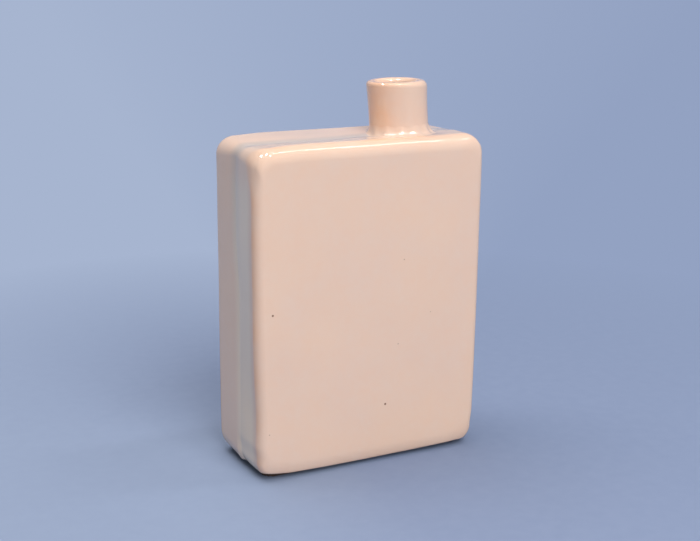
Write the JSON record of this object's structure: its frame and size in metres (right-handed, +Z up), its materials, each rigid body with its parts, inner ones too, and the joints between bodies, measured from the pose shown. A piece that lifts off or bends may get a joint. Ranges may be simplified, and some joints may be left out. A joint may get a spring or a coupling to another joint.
{
  "type": "bud vase",
  "caption": "Flat upright glazed ceramic bud vase with soft edges, a seam round the middle of its narrow sides and a short round neck set off-centre on top.",
  "frame": {"origin": "under the middle of the body, on the surface that the vase stands on", "axes": "+Z up, +X to the right seen from the front, towards the neck, front face towards -Y"},
  "size_m": [0.0988, 0.0414, 0.1505],
  "materials": {
    "glaze": "glossy peach glaze with a few fine dark specks",
    "seam": "glossy peach glaze, pooled in the seam"
  },
  "bodies": {
    "root": {"front_half": "glaze", "back_half": "glaze", "seam_slip": "seam", "neck": "glaze", "neck_coil": "glaze"}
  },
  "joints": []
}
